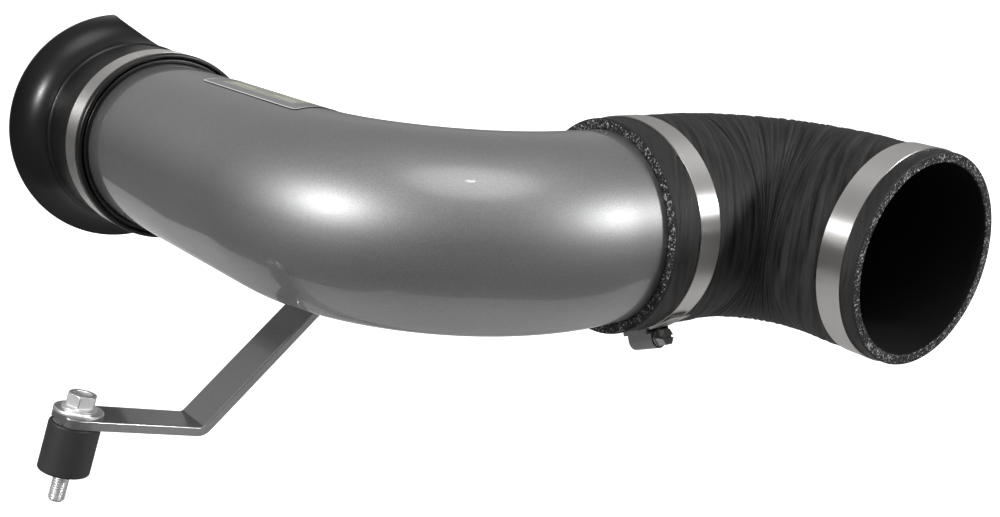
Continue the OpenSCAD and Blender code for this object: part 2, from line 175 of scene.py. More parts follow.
def ramp(tree, value, low, high, low_at=0.0, high_at=1.0, kind="LINEAR"):
    """Goes from low to high while the value goes from low_at to high_at, and stays level outside."""
    node = add_node(tree, "ShaderNodeMapRange", interpolation_type=kind)
    tree.links.new(value, node.inputs["Value"])
    set_inputs(node, {"From Min": low_at, "From Max": high_at, "To Min": low, "To Max": high})
    return node.outputs["Result"]


def colour_ramp(tree, value, stops):
    node = add_node(tree, "ShaderNodeValToRGB")
    tree.links.new(value, node.inputs["Fac"])
    elements = node.color_ramp.elements
    while len(elements) < len(stops):
        elements.new(0.5)
    for element, (at, colour) in zip(elements, stops):
        element.position = at
        element.color = (*colour, 1.0)
    return node.outputs["Color"]


def math_node(tree, kind, first, second=None, clamp=False):
    """A math node whose inputs are numbers or links."""
    node = add_node(tree, "ShaderNodeMath", operation=kind, use_clamp=clamp)
    for socket, value in zip(node.inputs, (first, second)):
        if isinstance(value, (int, float)):
            socket.default_value = value
        elif value is not None:
            tree.links.new(value, socket)
    return node.outputs[0]


def bump(tree, shader, height, strength, distance):
    node = add_node(tree, "ShaderNodeBump")
    tree.links.new(height, node.inputs["Height"])
    set_inputs(node, {"Strength": strength, "Distance": distance})
    tree.links.new(node.outputs["Normal"], shader.inputs["Normal"])


def grey(level, warm=0.0):
    return (level * (1 + warm), level, level * (1 - warm))


def scaled_colour(tree, colour, factor):
    """A colour whose brightness follows a value of the tree."""
    node = add_node(tree, "ShaderNodeVectorMath", operation="SCALE")
    node.inputs[0].default_value = colour
    tree.links.new(factor, node.inputs["Scale"])
    return node.outputs[0]


# Materials

def metallic_paint(name, level, roughness):
    """Faintly cloudy grey paint with fine metal flakes, under a clear coat."""
    material, tree, shader = new_material(name)
    where = coordinates(tree)
    flake = noise(tree, where, 2600.0, 1.0)
    cloud = noise(tree, where, 14.0, 2.0)
    tone = math_node(tree, "ADD", ramp(tree, flake, 0.82, 1.18, 0.32, 0.68),
                     ramp(tree, cloud, -0.05, 0.05, 0.3, 0.7))
    tree.links.new(scaled_colour(tree, grey(level, -0.004), tone), shader.inputs["Base Color"])
    set_inputs(shader, {"Metallic": 0.9, "Roughness": roughness, "Coat Weight": 1.0,
                        "Coat Roughness": 0.05, "Coat IOR": 1.5})
    bump(tree, shader, flake, 0.25, 0.00006)
    return material


def rubber(name, level, roughness, grain, depth, specular, spread=0.06):
    """Black rubber with fine grain, depth metres high. Its roughness varies by spread."""
    material, tree, shader = new_material(name)
    where = coordinates(tree)
    fine = noise(tree, where, grain, 3.0, 0.6)
    broad = noise(tree, where, 45.0, 3.0)
    tone = ramp(tree, broad, 0.8, 1.2, 0.25, 0.75)
    tree.links.new(scaled_colour(tree, grey(level, -0.01), tone), shader.inputs["Base Color"])
    gloss = ramp(tree, fine, roughness - spread, roughness + spread, 0.3, 0.7)
    tree.links.new(gloss, shader.inputs["Roughness"])
    set_inputs(shader, {"Specular IOR Level": specular})
    bump(tree, shader, fine, 0.5, depth)
    return material


def bright_metal(name, level, roughness, warm=0.012, around=None):
    """Plain metal. With around set to X or Y it is brushed in rings about that axis of the piece."""
    material, tree, shader = new_material(name)
    fine = noise(tree, coordinates(tree), 420.0, 3.0, 0.6)
    set_inputs(shader, {"Base Color": (*grey(level, warm), 1.0), "Metallic": 1.0})
    gloss = ramp(tree, fine, roughness * 0.95, roughness * 1.06, 0.3, 0.7)
    tree.links.new(gloss, shader.inputs["Roughness"])
    if around:
        tangent = add_node(tree, "ShaderNodeTangent", direction_type="RADIAL", axis=around)
        tree.links.new(tangent.outputs[0], shader.inputs["Tangent"])
        set_inputs(shader, {"Anisotropic": 0.88, "Anisotropic Rotation": 0.25})
    else:
        bump(tree, shader, fine, 0.1, 0.000008)
    return material


def label_material():
    """Film with a white outline, a pale field and plain bars, drawn in millimetres on the print layer."""
    material, tree, shader = new_material("label_film")
    layer = add_node(tree, "ShaderNodeUVMap", uv_map="print")
    split = add_node(tree, "ShaderNodeSeparateXYZ")
    tree.links.new(layer.outputs["UV"], split.inputs[0])
    along = math_node(tree, "MULTIPLY", split.outputs["X"], LABEL_LEN)
    across = math_node(tree, "MULTIPLY", split.outputs["Y"], LABEL_LEN)

    def inside(value, low, high, soft):
        rise = ramp(tree, value, 0.0, 1.0, low - soft, low + soft)
        fall = ramp(tree, value, 1.0, 0.0, high - soft, high + soft)
        return math_node(tree, "MULTIPLY", rise, fall, clamp=True)

    def box(x0, x1, y0, y1, soft=0.15):
        return math_node(tree, "MULTIPLY", inside(along, x0, x1, soft), inside(across, y0, y1, soft),
                         clamp=True)

    def past_straight(value, size):
        """How far a place lies beyond the straight part of one of the outline's sides."""
        offset = math_node(tree, "ABSOLUTE", math_node(tree, "SUBTRACT", value, size / 2))
        return math_node(tree, "SUBTRACT", offset, size / 2 - LABEL_CORNER_R)

    def squared(value):
        return math_node(tree, "POWER", math_node(tree, "MAXIMUM", value, 0.0), 2.0)

    def mix(factor, first, second):
        node = add_node(tree, "ShaderNodeMix", data_type="RGBA")
        tree.links.new(factor, node.inputs[0])
        for socket, value in ((node.inputs[6], first), (node.inputs[7], second)):
            if isinstance(value, tuple):
                socket.default_value = (*value, 1.0)
            else:
                tree.links.new(value, socket)
        return node.outputs[2]

    # Distance in from the label's edge, with its round corners
    past_x = past_straight(along, LABEL_LEN)
    past_y = past_straight(across, LABEL_WIDTH)
    corner = math_node(tree, "SQRT", math_node(tree, "ADD", squared(past_x), squared(past_y)))
    straight = math_node(tree, "MINIMUM", math_node(tree, "MAXIMUM", past_x, past_y), 0.0)
    depth = math_node(tree, "SUBTRACT", LABEL_CORNER_R, math_node(tree, "ADD", corner, straight))
    outline = inside(depth, 0.3, 1.05, 0.1)
    field = box(12.0, 88.0, 6.5, 34.0)
    bars = None
    for x0, x1, y0, y1 in ((16.0, 40.0, 10.0, 13.0), (16.0, 58.0, 16.5, 18.5), (16.0, 52.0, 21.0, 23.0),
                           (62.0, 84.0, 10.0, 12.0), (62.0, 84.0, 15.0, 25.0), (16.0, 46.0, 27.0, 30.5)):
        bar = box(x0, x1, y0, y1)
        bars = bar if bars is None else math_node(tree, "MAXIMUM", bars, bar)

    film_colour = (0.35, 0.35, 0.355)
    field_colour = (0.36, 0.365, 0.31)
    bar_colour = (0.60, 0.61, 0.47)
    colour = mix(field, film_colour, field_colour)
    colour = mix(bars, colour, bar_colour)
    colour = mix(outline, colour, grey(0.80))
    tree.links.new(colour, shader.inputs["Base Color"])
    printed = math_node(tree, "MAXIMUM", outline, field)
    tree.links.new(ramp(tree, printed, 0.75, 0.0), shader.inputs["Metallic"])
    set_inputs(shader, {"Roughness": 0.35, "Coat Weight": 0.6, "Coat Roughness": 0.12})
    return material


def fibre_material():
    """Cut end of the elbow: black rubber with pale specks of fabric ply."""
    material, tree, shader = new_material("cut_fibre")
    where = coordinates(tree)
    cells = add_node(tree, "ShaderNodeTexVoronoi", feature="F1")
    tree.links.new(where, cells.inputs["Vector"])
    set_inputs(cells, {"Scale": 620.0})
    fine = noise(tree, where, 900.0, 4.0, 0.75)
    patch = noise(tree, where, 120.0, 2.0)
    specks = math_node(tree, "ADD", ramp(tree, cells.outputs["Distance"], 0.55, 0.0, 0.05, 0.6),
                       ramp(tree, fine, -0.35, 0.75, 0.38, 0.64))
    specks = math_node(tree, "ADD", specks, ramp(tree, patch, -0.18, 0.12, 0.35, 0.65))
    colour = colour_ramp(tree, specks, [(0.0, grey(0.006)), (0.46, grey(0.012)),
                                        (0.60, (0.24, 0.24, 0.235)), (0.9, (0.55, 0.55, 0.54))])
    tree.links.new(colour, shader.inputs["Base Color"])
    set_inputs(shader, {"Roughness": 0.75})
    bump(tree, shader, specks, 0.8, 0.0004)
    return material


def wrapped_rubber():
    """Rubber of the elbow, with the fine lines that its curing tape leaves, drawn on its wrap layer."""
    material, tree, shader = new_material("wrapped_rubber")
    layer = add_node(tree, "ShaderNodeAttribute", attribute_name="wrap")
    lines = noise(tree, layer.outputs["Vector"], 1.0, 4.0, 0.62)
    broad = noise(tree, coordinates(tree), 30.0, 3.0)
    grain = noise(tree, coordinates(tree), 1300.0, 2.0, 0.6)
    # The lines change the tone only where the tape was
    wrapped = add_node(tree, "ShaderNodeAttribute", attribute_name="wrapped").outputs["Fac"]
    shade = add_node(tree, "ShaderNodeMix", data_type="FLOAT")
    tree.links.new(ramp(tree, wrapped, 0.25, 1.0), shade.inputs[0])
    shade.inputs[2].default_value = 1.0
    tree.links.new(ramp(tree, lines, 0.25, 1.7, 0.38, 0.64), shade.inputs[3])
    tone = math_node(tree, "MULTIPLY", shade.outputs[0], ramp(tree, broad, 0.75, 1.25, 0.3, 0.7))
    tree.links.new(scaled_colour(tree, grey(0.019, -0.01), tone), shader.inputs["Base Color"])
    tree.links.new(ramp(tree, lines, 0.50, 0.68, 0.35, 0.65), shader.inputs["Roughness"])
    set_inputs(shader, {"Specular IOR Level": 0.26})
    height = math_node(tree, "ADD", ramp(tree, lines, -1.0, 1.0, 0.3, 0.7),
                       ramp(tree, grain, -0.12, 0.12, 0.3, 0.7))
    bump(tree, shader, height, 0.8, 0.00022)
    return material


PAINT = metallic_paint("tube_paint", 0.26, 0.465)
BRACKET_PAINT = metallic_paint("bracket_paint", 0.25, 0.30)
ADAPTER_RUBBER = rubber("adapter_rubber", 0.0035, 0.31, 700.0, 0.000006, 0.42, 0.02)
ISOLATOR_RUBBER = rubber("isolator_rubber", 0.024, 0.5, 900.0, 0.00003, 0.4)
HOSE_INSIDE = rubber("hose_inside", 0.008, 0.7, 900.0, 0.00004, 0.2)
BAND_STEEL = bright_metal("band_steel", 0.62, 0.34, 0.02, "X")
TURNED_BAND_STEEL = bright_metal("turned_band_steel", 0.62, 0.34, 0.02, "Y")
# The housings and screws are the bands' clamp steel, given a darker colour as painted shade: they sit in
# shadow
SHADED_HOUSING_STEEL = bright_metal("housing_steel", 0.22, 0.30)
SHADED_SCREW_STEEL = bright_metal("screw_steel", 0.38, 0.32)
ZINC = bright_metal("zinc", 0.88, 0.34, 0.004)
WRAPPED = wrapped_rubber()
LABEL = label_material()
FIBRE = fibre_material()

BY_NODE = {
    "intake_tube": PAINT, "tube_label": LABEL, "support_bracket": BRACKET_PAINT,
    "bracket_weld": BRACKET_PAINT, "rubber_adapter": ADAPTER_RUBBER, "elbow_hose": WRAPPED,
    "isolator_rubber": ISOLATOR_RUBBER, "isolator_top_plate": ZINC, "isolator_bottom_plate": ZINC,
    "isolator_stud": ZINC, "flange_bolt": ZINC, "flat_washer": ZINC,
}


def node_material(name):
    """The inner clamp's band goes around the Y axis, and the other two go around X."""
    if name.endswith("_band"):
        return TURNED_BAND_STEEL if name.startswith("inner") else BAND_STEEL
    if name.endswith("_housing"):
        return SHADED_HOUSING_STEEL
    if name.endswith("_screw"):
        return SHADED_SCREW_STEEL
    return BY_NODE[name]


for name, node in nodes.items():
    node.data.materials.clear()
    node.data.materials.append(node_material(name))


# Paths, meshes and noise

def path_at(start, heading, parts, distance):
    """Points and heading angles at the distances along straight runs (length) and bends (radius, degrees).
    A bend turns left where its degrees are positive."""
    distance = np.asarray(distance, float)
    where = np.zeros((len(distance), 3))
    angle = np.zeros(len(distance))
    point = np.array(start, float)
    turned_to = math.radians(heading)
    done = 0.0
    for i, part in enumerate(parts):
        straight = len(part) == 1
        length = part[0] if straight else part[0] * math.radians(abs(part[1]))
        begin = done if i > 0 else -math.inf
        end = done + length if i < len(parts) - 1 else math.inf
        here = (distance >= begin) & (distance < end)
        along = distance[here] - done
        if straight:
            forward = np.array([math.cos(turned_to), math.sin(turned_to), 0])
            where[here] = point + np.outer(along, forward)
            angle[here] = turned_to
            point = point + length * forward
        else:
            radius, side = part[0], math.copysign(1.0, part[1])
            centre = point + radius * side * np.array([-math.sin(turned_to), math.cos(turned_to), 0])
            there = turned_to + side * along / radius
            where[here] = centre + radius * side * np.stack([np.sin(there), -np.cos(there), 0 * there], 1)
            angle[here] = there
            turned_to = turned_to + side * length / radius
            point = centre + radius * side * np.array([math.sin(turned_to), -math.cos(turned_to), 0])
        done += length
    return where, angle


def sweep(path, distance, radius, phi):
    """Rings of points around a path, phi from its left towards up. radius has a row for each ring."""
    where, angle = path_at(*path, distance)
    left = np.stack([-np.sin(angle), np.cos(angle), 0 * angle], 1)
    sideways = left[:, None, :] * np.cos(phi)[None, :, None]
    upwards = np.array([0, 0, 1.0]) * np.sin(phi)[None, :, None]
    return where[:, None, :] + radius[:, :, None] * (sideways + upwards)


def angles_around(columns):
    return np.linspace(0, 2 * math.pi, columns, endpoint=False)


def signed_volume(mesh):
    """Below zero where a mesh is inside out. The label, an open sheet, has to face away from the origin."""
    mesh.calc_loop_triangles()
    corners = np.empty(len(mesh.loop_triangles) * 3, np.int32)
    mesh.loop_triangles.foreach_get("vertices", corners)
    where = np.empty(len(mesh.vertices) * 3)
    mesh.vertices.foreach_get("co", where)
    a, b, c = where.reshape(-1, 3)[corners].reshape(-1, 3, 3).transpose(1, 0, 2)
    return float(np.einsum("ij,ij->i", a, np.cross(b, c)).sum())


def make(name, points, faces, materials, node_name, sharp=None, indices=None):
    """A piece that replaces a CAD node. Edges over sharp degrees stay sharp.
    With several materials, indices hold one number for each face."""
    mesh = bpy.data.meshes.new(name)
    points = (np.asarray(points, float) - SEAT) * MM
    mesh.from_pydata(points.tolist(), [], [tuple(int(i) for i in face) for face in faces])
    mesh.update()
    if signed_volume(mesh) < 0:
        mesh.flip_normals()
    for material in materials:
        mesh.materials.append(material)
    if indices is not None:
        mesh.polygons.foreach_set("material_index", np.asarray(indices, np.int32))
    mesh.polygons.foreach_set("use_smooth", np.ones(len(mesh.polygons), bool))
    if sharp is not None:
        mesh.set_sharp_from_angle(angle=math.radians(sharp))
    piece = bpy.data.objects.new(name, mesh)
    bpy.context.scene.collection.objects.link(piece)
    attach(piece, "root")
    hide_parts(node_name)
    return piece


def grid_faces(rows, columns, close_rows=False, close_columns=True):
    """Four-sided faces of a grid of points. Closed rows or columns join their last to their first."""
    faces = []
    for i in range(rows if close_rows else rows - 1):
        j = (i + 1) % rows
        for k in range(columns if close_columns else columns - 1):
            m = (k + 1) % columns
            faces.append((i * columns + k, j * columns + k, j * columns + m, i * columns + m))
    return faces


def smooth_step(value):
    return value * value * (3 - 2 * value)


def wave(phi, seed, count):
    """A smooth random wave around a circle, between about -1 and 1."""
    rng = np.random.default_rng(seed)
    total = np.zeros_like(phi)
    for k in range(1, count + 1):
        total = total + rng.uniform(0.4, 1.0) / k * np.sin(k * phi + rng.uniform(0, 2 * math.pi))
    return total / 1.6


def smooth_noise(rng, rows, columns, row_scale, column_scale):
    """Smooth noise on a grid of rings, between -1 and 1. The scales are in points of the grid."""
    base_rows = max(2, int(rows / row_scale) + 2)
    base_columns = max(3, int(columns / column_scale))
    base = rng.uniform(-1, 1, (base_rows, base_columns))
    y = np.linspace(0, base_rows - 1.001, rows)
    x = np.linspace(0, base_columns, columns, endpoint=False)
    y0, x0 = y.astype(int), x.astype(int)
    y1, x1 = np.minimum(y0 + 1, base_rows - 1), (x0 + 1) % base_columns
    down = smooth_step(y - y0)[:, None]
    right = smooth_step(x - x0)[None, :]
    first = base[np.ix_(y0, x0 % base_columns)] * (1 - right) + base[np.ix_(y0, x1)] * right
    second = base[np.ix_(y1, x0 % base_columns)] * (1 - right) + base[np.ix_(y1, x1)] * right
    return first * (1 - down) + second * down


# Intake tube: bent thin wall, with the slight unevenness of a mandrel bend

def build_tube():
    columns = 192
    inset, uneven_by, pinch_by, pinch_reach = 0.06, 0.035, 0.05, 26.0
    phi = angles_around(columns)
    bend_from = ADAPTER_OVERLAP + INLET_RUN
    bend_to = bend_from + TUBE_BEND_LEN
    total = bend_to + OUTLET_RUN + HOSE_OVERLAP
    outside = np.concatenate([[0.0, 0.5], np.linspace(1.5, total - 1.5, 210), [total - 0.5, total]])
    edge = np.zeros((len(outside), 1))
    edge[0] = edge[-1] = 0.5
    uneven = uneven_by * smooth_noise(np.random.default_rng(11), len(outside), columns, 14, 24)
    near_bend_ends = (np.exp(-((outside - bend_from) / pinch_reach) ** 2)
                      + np.exp(-((outside - bend_to) / pinch_reach) ** 2))
    pinch = np.cos(phi) ** 2 * pinch_by * near_bend_ends[:, None]
    outer = TUBE_R - inset - edge + uneven * (1 - edge) - pinch
    inside = np.linspace(total, 0, 60)
    inner = np.full((len(inside), columns), BORE_R)
    points = np.concatenate([sweep(TUBE_PATH, outside, outer, phi), sweep(TUBE_PATH, inside, inner, phi)])
    make("tube", points.reshape(-1, 3), grid_faces(len(points), columns, close_rows=True), [PAINT],
         "intake_tube", sharp=50)


# Elbow hose: smooth cuffs, a wrapped bend, cut fibre ends

def wrap_marks(rng, phi, station):
    """Edges of the wrapping tape: thin grooves and low steps that wander and lean a little."""
    relief = np.zeros(station.shape)
    for i, at in enumerate(np.linspace(WRAP_FROM + 3, WRAP_TO - 2, MARK_COUNT)):
        line = at + 0.9 * wave(phi, 100 + i, 5) + rng.uniform(-1.2, 1.2)
        line = line + rng.uniform(-1.8, 1.8) * np.cos(phi + rng.uniform(-0.6, 0.6))
        uneven = np.clip(0.75 + 0.45 * wave(phi, 300 + i, 4), 0.15, 1.3)
        depth = MARK_DEPTH * rng.uniform(0.25, 1.0) * uneven
        past = station - line
        relief -= depth * np.exp(-(past / rng.uniform(0.5, 0.85)) ** 2)
        step = MARK_STEP * rng.uniform(0.1, 1.0)
        relief += step * (np.clip(past / 0.9, 0, 1) - np.clip((past - 2.2) / 2.4, 0, 1))
    return relief


def cut_end(distance, radii, depths, into, phi):
    """Rings across a cut end of the hose. Each point is set into the rubber by its own depth."""
    stations = np.full(len(radii), distance)
    rings = sweep(HOSE_PATH, stations, radii[:, None] + 0 * depths, phi)
    _, angle = path_at(*HOSE_PATH, stations)
    forward = np.stack([np.cos(angle), np.sin(angle), 0 * angle], 1)
    return rings + into * depths[:, :, None] * forward[:, None, :]


def build_hose():
    columns = 200
    phi = angles_around(columns)
    rng = np.random.default_rng(5)
    total = HOSE_RUN_IN + HOSE_BEND_LEN + HOSE_RUN_OUT
    outside = np.concatenate([[0.0, 0.25, 0.7], np.linspace(1.3, WRAP_FROM, 34, endpoint=False),
                              np.linspace(WRAP_FROM, WRAP_TO + 1, 334),
                              np.linspace(WRAP_TO + 2.2, total - 1.3, 32),
                              [total - 0.7, total - 0.25, total]])
    rows = len(outside)

    # The wraps start a little before the bend and end a little after it
    # On the inside of the bend they spread out along the straight runs
    middle = HOSE_RUN_IN + HOSE_BEND_LEN / 2
    spread = 1 + 0.75 * ((1 - np.cos(phi)) / 2) ** 2
    station = middle + (outside[:, None] - middle) / spread
    fade_in, fade_out = 9, 10
    wrapped = np.clip((station - WRAP_FROM) / fade_in, 0, 1) * np.clip((WRAP_TO - station) / fade_out, 0, 1)
    wrapped = smooth_step(wrapped)
    relief = wrap_marks(rng, phi, station)
    relief += 0.10 * smooth_noise(rng, rows, columns, 5, 40)
    relief *= wrapped
    # Faint rings of the cuffs
    for at, depth in ((3.4, 0.05), (12.8, 0.07), (14.4, 0.05), (36.0, 0.07), (40.5, 0.05),
                      (total - 5.2, 0.05), (total - 25.0, 0.07), (total - 29.5, 0.06)):
        relief -= depth * np.exp(-((outside[:, None] - at) / 0.5) ** 2)
    relief += 0.03 * smooth_noise(rng, rows, columns, 4, 6)
    relief += 0.04 * smooth_noise(rng, rows, columns, 16, 30)

    # The cuffs stay just inside the CAD hose, and the wraps rise over them
    cuff_r, wrap_rise, highest_rise = HOSE_R - 0.02, 0.45, 0.75
    edge = np.zeros((rows, 1))
    edge[0] = edge[-1] = 0.7
    edge[1] = edge[-2] = 0.22
    outer = np.minimum(cuff_r + wrap_rise * wrapped + relief, cuff_r + highest_rise * wrapped) - edge

    # Across each cut end the rubber is a little rough, and level at both rims
    end_r = np.linspace(HOSE_R - 0.7, RUBBER_BORE_R + 0.5, 9)
    roughness = 0.14
    rough = -rng.uniform(-roughness, 0.0, (2, len(end_r) - 2, columns))
    level = np.zeros((1, columns))
    far_end = cut_end(total, end_r[1:], np.concatenate([rough[0], level]), -1, phi)
    near_end = cut_end(0.0, end_r[:0:-1], np.concatenate([level, rough[1]]), 1, phi)
    inside = np.concatenate([[total - 0.5], np.linspace(total - 3, 3, 46), [0.5]])
    inner = np.full((len(inside), columns), RUBBER_BORE_R)
    points = np.concatenate([sweep(HOSE_PATH, outside, outer, phi), far_end,
                             sweep(HOSE_PATH, inside, inner, phi), near_end])

    # The lip is cut a little askew: its far side is shorter
    skew, skew_reach, lip_region = 3.5, 15.0, 80.0
    near_lip = np.clip(1 - (points[:, :, 1] - HOSE_LIP[1]) / skew_reach, 0, 1)
    near_lip = np.where(np.linalg.norm(points - HOSE_LIP, axis=2) < lip_region, near_lip, 0)
    points[:, :, 1] += skew * (1 + np.cos(phi)) * near_lip

    rubber_index, fibre_index, inside_index = 0, 1, 2
    indices = ([rubber_index] * (rows - 1) + [fibre_index] * (len(far_end) + 1)
               + [inside_index] * (len(inside) - 1) + [fibre_index] * (len(near_end) + 1))
    piece = make("elbow", points.reshape(-1, 3), grid_faces(len(points), columns, close_rows=True),
                 [WRAPPED, FIBRE, HOSE_INSIDE], "elbow_hose", sharp=40, indices=np.repeat(indices, columns))

    # The wrap layer is quick along the hose and slow around it, so that its noise is drawn as rings
    along_scale, around_scale = 0.42, 1.3
    wrap = np.zeros((len(points), columns, 3), np.float32)
    wrap[:rows, :, 0] = along_scale * station
    wrap[:, :, 1] = around_scale * np.cos(phi)
    wrap[:, :, 2] = around_scale * np.sin(phi)
    layer = piece.data.attributes.new("wrap", "FLOAT_VECTOR", "POINT")
    layer.data.foreach_set("vector", wrap.ravel())
    amount = np.zeros((len(points), columns), np.float32)
    amount[:rows] = wrapped
    layer = piece.data.attributes.new("wrapped", "FLOAT", "POINT")
    layer.data.foreach_set("value", amount.ravel())


# Rubber adapter: grooved lip, cuff and flared bell with its trimmed flat

def bell_arc(radius, first, last, count):
    """Points of the bell's curve, its angles in degrees from the cuff."""
    return [(-CUFF_LEN - radius * math.sin(a), CUFF_R + BELL_CURVE_R - radius * math.cos(a))
            for a in np.radians(np.linspace(first, last, count))]


def build_adapter():
    """Rings of points from pairs of place and radius, outside from the lip to the bell and inside back."""
    columns = 360
    phi = angles_around(columns)

    # Places and heights over the cuff, where the ridge's places are measured from the cuff's end
    lip = ((-4.0, -2.2), (-4.0, -1.7), (-0.7, -1.65), (-0.2, -1.5), (0.0, -1.1), (0.0, -0.5), (-0.2, 0.1),
           (-0.6, 0.55), (-1.1, 0.75), (-1.8, 0.8), (-2.6, 0.77), (-3.1, 0.6), (-3.4, 0.3), (-3.5, 0.05),
           (-3.8, 0.0))
    ridge = ((3.1, 0.0), (2.8, 0.3), (2.5, 0.85), (2.0, 1.1), (1.2, 1.1), (0.7, 0.85), (0.4, 0.2),
             (0.2, -1.0), (-0.3, -1.6), (-1.2, -1.6), (-1.8, -1.0))
    outside = [(x, CUFF_R + rise) for x, rise in lip]
    outside += [(x, CUFF_R) for x in (-7.0, -13.0, -19.0, -25.0, -33.0, -41.0, -46.4)]
    outside += [(x - CUFF_LEN, CUFF_R + rise) for x, rise in ridge]
    bell = bell_arc(BELL_CURVE_R, 6.2, 78.2, 38)
    bell_inside = bell_arc(BELL_CURVE_R + BELL_WALL, 78.6, 2.0, 30)
    rim = [(bell[-1][0] - 1.129, bell[-1][1] + 0.12), (bell_inside[0][0] + 0.807, bell_inside[0][1] + 0.35)]
    # The stop that the tube's end meets, the bore over the tube, and the lip's groove
    stop = [(-CUFF_LEN, RUBBER_BORE_R + 0.05), (0.4 - CUFF_LEN, BORE_R + 0.15), (2.0 - CUFF_LEN, BORE_R),
            (-1.0 - ADAPTER_OVERLAP, BORE_R), (-0.3 - ADAPTER_OVERLAP, BORE_R + 0.15),
            (-0.1 - ADAPTER_OVERLAP, BORE_R + 1.25)]
    bore = [(x, RUBBER_BORE_R) for x in (-ADAPTER_OVERLAP, -25.0, -10.0, -1.2)]
    groove = [(x, RUBBER_BORE_R + rise)
              for x, rise in ((-0.3, 0.2), (0.0, 0.7), (0.0, 2.0), (-0.2, 2.4), (-0.7, 2.65), (-3.9, 2.7))]

    # The flat that trims the bell: its distance from the axis at each angle, over its nearest distance
    towards_flat = np.cos(phi - math.radians(BELL_FLAT_TURN))
    to_flat = np.where(towards_flat > 0.05, 1 / np.maximum(towards_flat, 0.05), 1e3)
    uncut = np.full(columns, np.inf)
    outer_flat = BELL_FLAT_AT * to_flat
    inner_flat = np.maximum((RUBBER_BORE_R + 0.05) * to_flat, RUBBER_BORE_R)
    rings = []
    for outline, limit in ((outside, uncut), (bell + rim, outer_flat), (bell_inside, inner_flat),
                           (stop + bore + groove, uncut)):
        for x, r in outline:
            ring = np.minimum(r, limit)
            rings.append(np.stack([np.full(columns, x), ring * np.cos(phi), ring * np.sin(phi)], 1))
    make("adapter", np.concatenate(rings), grid_faces(len(rings), columns, close_rows=True),
         [ADAPTER_RUBBER], "rubber_adapter", sharp=38)


# Label: a thin curved film whose print is drawn from its own coordinates

def build_label():
    rows, columns = 120, 40
    along, across = np.meshgrid(np.linspace(0, LABEL_LEN, rows), np.linspace(0, LABEL_WIDTH, columns),
                                indexing="ij")

    # Pull the grid in at the corners so that they are round
    mid_x, mid_y = LABEL_LEN / 2, LABEL_WIDTH / 2
    straight_x, straight_y = mid_x - LABEL_CORNER_R, mid_y - LABEL_CORNER_R
    past_x, past_y = np.abs(along - mid_x) - straight_x, np.abs(across - mid_y) - straight_y
    in_corner = (past_x > 0) & (past_y > 0)
    pull = np.ones_like(along)
    pull[in_corner] = (np.maximum(past_x, past_y) / np.hypot(past_x, past_y))[in_corner]
    along = np.where(in_corner, mid_x + np.sign(along - mid_x) * (straight_x + past_x * pull), along)
    across = np.where(in_corner, mid_y + np.sign(across - mid_y) * (straight_y + past_y * pull), across)

    where, heading = path_at(*TUBE_PATH, (along + LABEL_AT + ADAPTER_OVERLAP).ravel())
    left = np.stack([-np.sin(heading), np.cos(heading), 0 * heading], 1)
    turn = (math.radians(LABEL_EDGE) - across / LABEL_R).ravel()[:, None]
    points = where + LABEL_R * (left * np.cos(turn) + np.array([0, 0, 1.0]) * np.sin(turn))
    piece = make("label", points, grid_faces(rows, columns, close_columns=False), [LABEL], "tube_label")
    layer = piece.data.uv_layers.new(name="print")
    uv = np.stack([along.ravel(), across.ravel()], 1) / LABEL_LEN
    loops = np.empty(len(piece.data.loops), np.int32)
    piece.data.loops.foreach_get("vertex_index", loops)
    layer.data.foreach_set("uv", uv[loops].ravel().astype(np.float32))


# Turned pieces, drawn along +Z from the isolator's seat

def closed_rings(rings):
    """Points and faces of a stack of rings closed by a centre point at each end."""
    rows, columns, _ = rings.shape
    points = list(rings.reshape(-1, 3)) + [rings[0].mean(0), rings[-1].mean(0)]
    faces = grid_faces(rows, columns)
    first, last = rows * columns, rows * columns + 1
    for k in range(columns):
        m = (k + 1) % columns
        faces.append((first, k, m))
        faces.append((last, (rows - 1) * columns + m, (rows - 1) * columns + k))
    return np.array(points), faces


def from_seat(points):
    """From the isolator's seat and axis to places measured from the adapter's lip."""
    a = math.radians(-BAR_LEAN)
    turn = np.array([[1, 0, 0], [0, math.cos(a), -math.sin(a)], [0, math.sin(a), math.cos(a)]])
    return np.asarray(points) @ turn.T + SEAT


def turned(profile, columns, widest=None):
    """Rings of a turned piece from (height, radius) pairs. widest limits the radius, as a hexagon does."""
    phi = angles_around(columns)
    rings = []
    for z, r in profile:
        ring = np.full(columns, float(r))
        if widest is not None:
            ring = np.minimum(ring, widest(phi, z))
        rings.append(np.stack([ring * np.cos(phi), ring * np.sin(phi), np.full(columns, float(z))], 1))
    return np.array(rings)


def thread_rings(length, columns):
    """A coarse metric thread along +Z. Its radius follows a helix, and its tip at 0 is chamfered."""
    pitch, depth, tip_r, tip_len = 1.25, 0.6, 2.95, 1.2
    height = np.linspace(0, length, int(length / pitch * 10) + 1)[:, None]
    phi = angles_around(columns)
    turn = (height / pitch - phi / (2 * math.pi)) % 1.0
    tooth = np.clip(1.35 * np.abs(2 * turn - 1) - 0.1, 0, 1)
    radius = THREAD_R - depth * (1 - tooth)
    radius = np.minimum(radius, tip_r + (THREAD_R - tip_r) * height / tip_len)
    return np.stack([radius * np.cos(phi), radius * np.sin(phi), np.broadcast_to(height, radius.shape)], 2)


def build_stud():
    columns, relief_r, play = 64, 3.42, 0.1
    thread = thread_rings(STUD_LEN - STUD_RELIEF, columns)
    thread[:, :, 2] -= STUD_LEN
    head_r, head_top = STUD_HEAD_R - play, PLATE_T + STUD_HEAD_H - play
    top = turned([(0.05 - STUD_RELIEF, relief_r), (-0.1, relief_r), (0.0, THREAD_R - 0.05),
                  (PLATE_T - 0.05, THREAD_R - 0.05), (PLATE_T, head_r), (head_top, head_r)], columns)
    points, faces = closed_rings(np.concatenate([thread, top]))
    make("stud", from_seat(points), faces, [ZINC], "isolator_stud", sharp=40)


